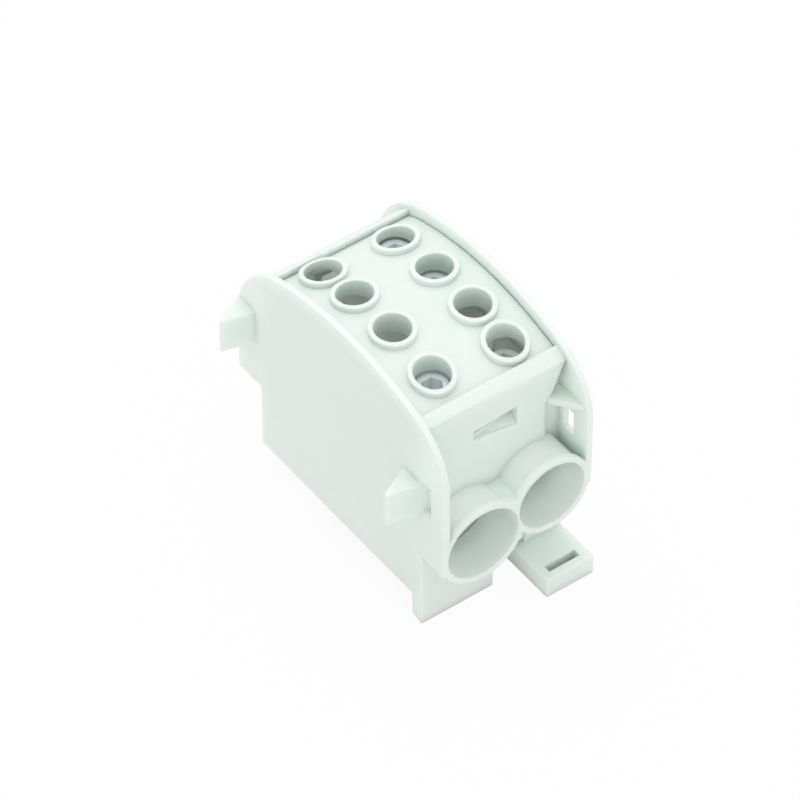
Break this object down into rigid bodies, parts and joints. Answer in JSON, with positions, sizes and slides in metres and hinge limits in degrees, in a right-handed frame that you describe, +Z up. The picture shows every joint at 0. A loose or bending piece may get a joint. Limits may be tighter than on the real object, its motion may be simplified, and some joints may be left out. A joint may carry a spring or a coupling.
{
  "type": "power distribution block",
  "caption": "Rail-mounted power distribution block: moulded housing with arched sunk cover, collared screw holes, round conductor entries, side hooks and a sliding rail latch.",
  "frame": {"origin": "middle of the underside of the overall box, at the level of the feet", "axes": "+X across the block away from the side hooks, +Y from the front entries to the rear entries, +Z up"},
  "size_m": [0.042, 0.0688, 0.0587],
  "materials": {
    "housing_plastic": "satin",
    "cover_plastic": "satin",
    "latch_plastic": "satin",
    "block_metal": "tin plated, satin",
    "screw_steel": "zinc plated, satin"
  },
  "bodies": {
    "housing": {"housing": "housing_plastic", "top_cover": "cover_plastic", "terminal_block": "block_metal"},
    "rail_latch": {"rail_latch": "latch_plastic"},
    "clamp_screw_a": {"clamp_screw_a": "screw_steel"},
    "clamp_screw_b": {"clamp_screw_b": "screw_steel"},
    "clamp_screw_c": {"clamp_screw_c": "screw_steel"},
    "clamp_screw_d": {"clamp_screw_d": "screw_steel"},
    "clamp_screw_e": {"clamp_screw_e": "screw_steel"},
    "clamp_screw_f": {"clamp_screw_f": "screw_steel"},
    "clamp_screw_g": {"clamp_screw_g": "screw_steel"},
    "clamp_screw_h": {"clamp_screw_h": "screw_steel"}
  },
  "joints": [
    {"name": "rail_latch_slide", "type": "slide", "parent": "housing", "child": "rail_latch", "axis": [0, -1, 0], "range_m": [0, 0.0045]},
    {"name": "clamp_screw_a_travel", "type": "slide", "parent": "housing", "child": "clamp_screw_a", "axis": [0, 0, -1], "range_m": [-0.0044, 0.0094]},
    {"name": "clamp_screw_b_travel", "type": "slide", "parent": "housing", "child": "clamp_screw_b", "axis": [0, 0, -1], "range_m": [-0.006, 0.0088]},
    {"name": "clamp_screw_c_travel", "type": "slide", "parent": "housing", "child": "clamp_screw_c", "axis": [0, 0, -1], "range_m": [-0.0056, 0.0112]},
    {"name": "clamp_screw_d_travel", "type": "slide", "parent": "housing", "child": "clamp_screw_d", "axis": [0, 0, -1], "range_m": [0, 0.0168]},
    {"name": "clamp_screw_e_travel", "type": "slide", "parent": "housing", "child": "clamp_screw_e", "axis": [0, 0, -1], "range_m": [0, 0.0158]},
    {"name": "clamp_screw_f_travel", "type": "slide", "parent": "housing", "child": "clamp_screw_f", "axis": [0, 0, -1], "range_m": [0, 0.0169]},
    {"name": "clamp_screw_g_travel", "type": "slide", "parent": "housing", "child": "clamp_screw_g", "axis": [0, 0, -1], "range_m": [-0.005, 0.0098]},
    {"name": "clamp_screw_h_travel", "type": "slide", "parent": "housing", "child": "clamp_screw_h", "axis": [0, 0, -1], "range_m": [-0.0024, 0.0124]}
  ]
}
